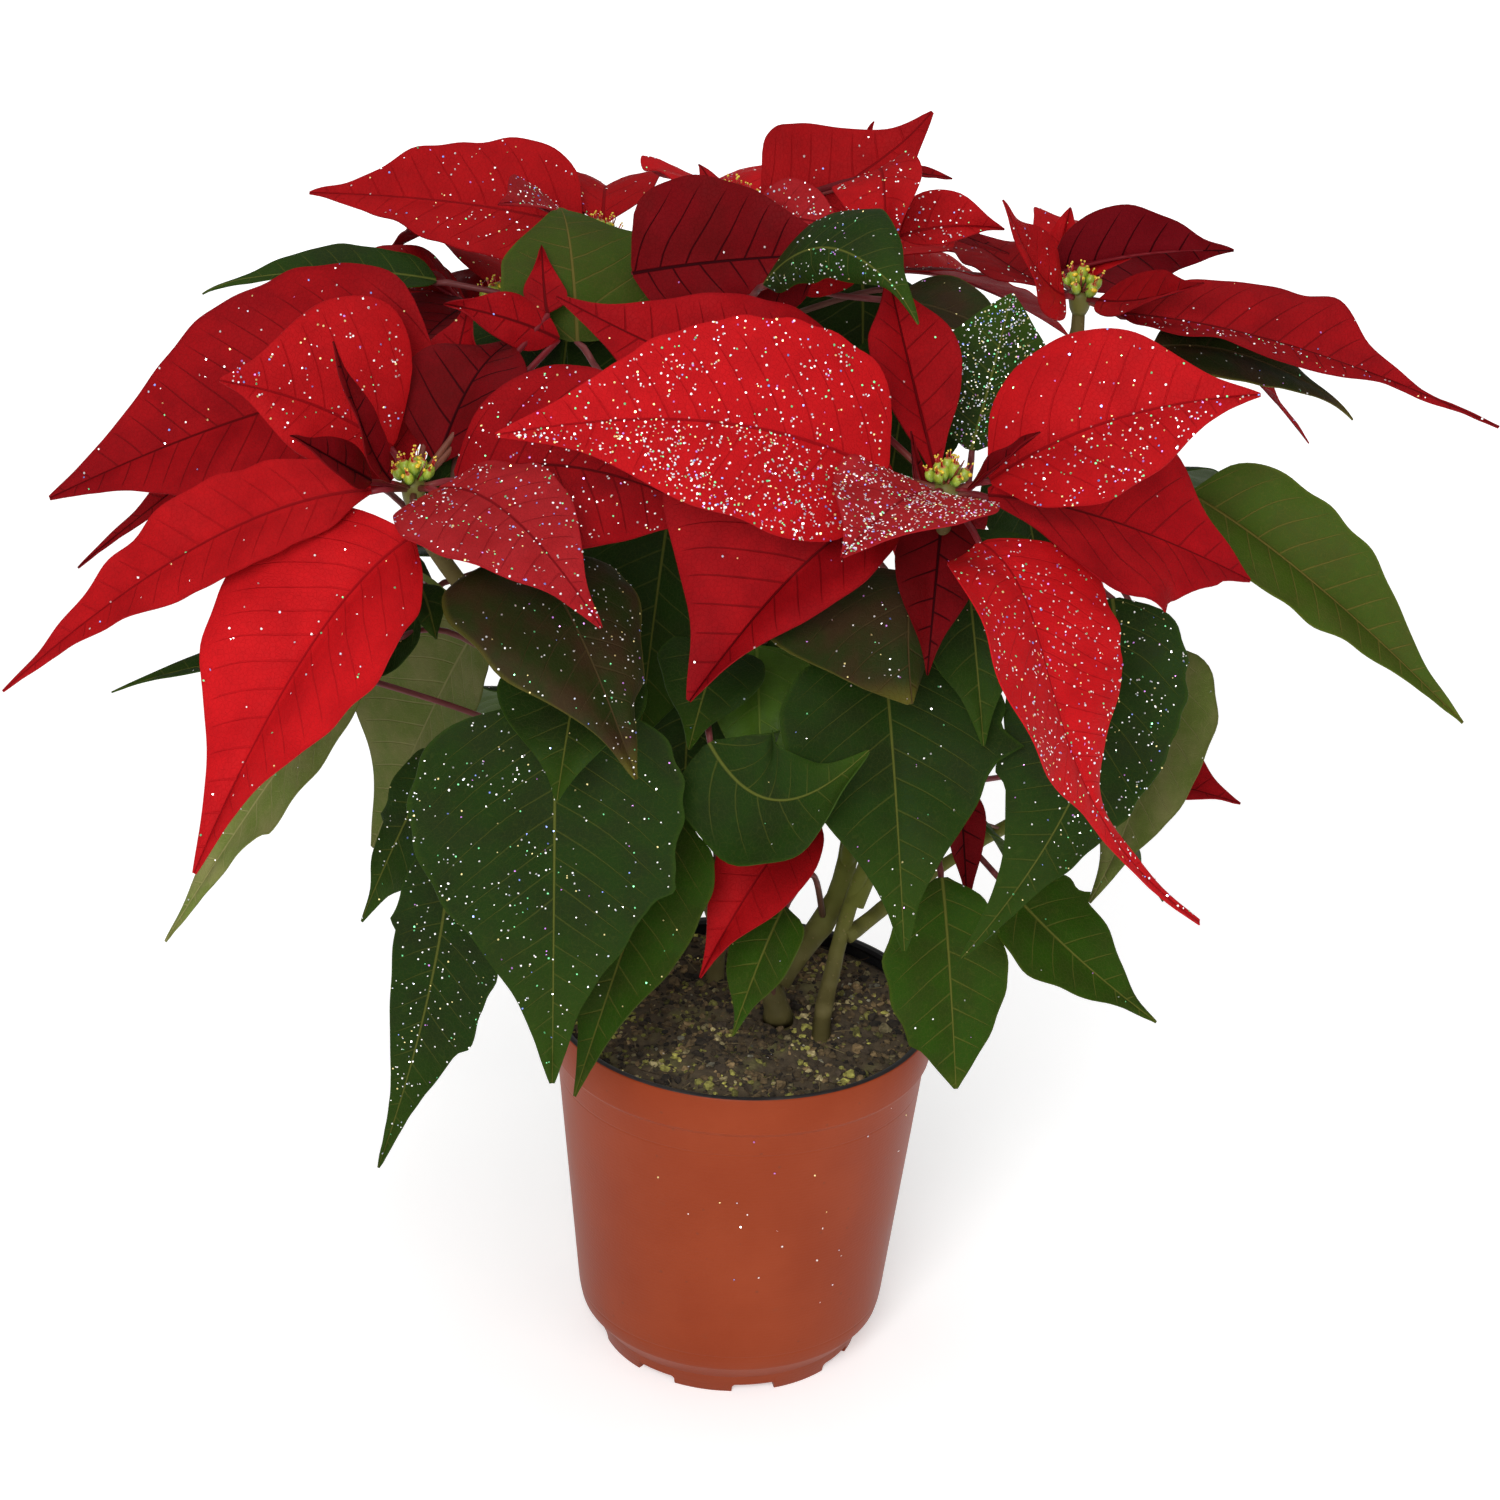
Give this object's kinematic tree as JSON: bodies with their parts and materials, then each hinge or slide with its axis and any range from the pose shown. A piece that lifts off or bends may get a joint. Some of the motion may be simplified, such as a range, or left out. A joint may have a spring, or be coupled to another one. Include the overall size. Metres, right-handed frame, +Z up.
{
  "type": "potted poinsettia",
  "caption": "Poinsettia in a tapered plastic pot: whorls of pointed red bracts round small buds, over green leaves on forked stems.",
  "frame": {"origin": "centre of the underside of the pot, on the surface that it stands on", "axes": "+Z up; -Y towards the viewer of the picture; +X to the picture's right"},
  "size_m": [0.4548, 0.3983, 0.4314],
  "materials": {
    "pot": "satin terracotta-coloured plastic, black inside",
    "soil": "dry crumbly peat compost with bits of moss",
    "bract": "soft satin red with fine veins and loose glitter",
    "leaf": "satin dark green with paler veins and undersides",
    "bud": "waxy yellow-green"
  },
  "bodies": {
    "root": {"pot": "pot", "soil": "soil", "stem_left": "leaf", "stem_right": "leaf", "stem_back": "leaf", "bracts_A": "bract", "bracts_B": "bract", "bracts_C": "bract", "bracts_D": "bract", "bracts_E": "bract", "bracts_F": "bract", "bracts_G": "bract", "bracts_H": "bract", "bracts_I": "bract", "buds_A": "bud", "buds_B": "bud", "buds_C": "bud", "buds_D": "bud", "buds_E": "bud", "buds_F": "bud", "buds_G": "bud", "buds_H": "bud", "buds_I": "bud"}
  },
  "joints": []
}
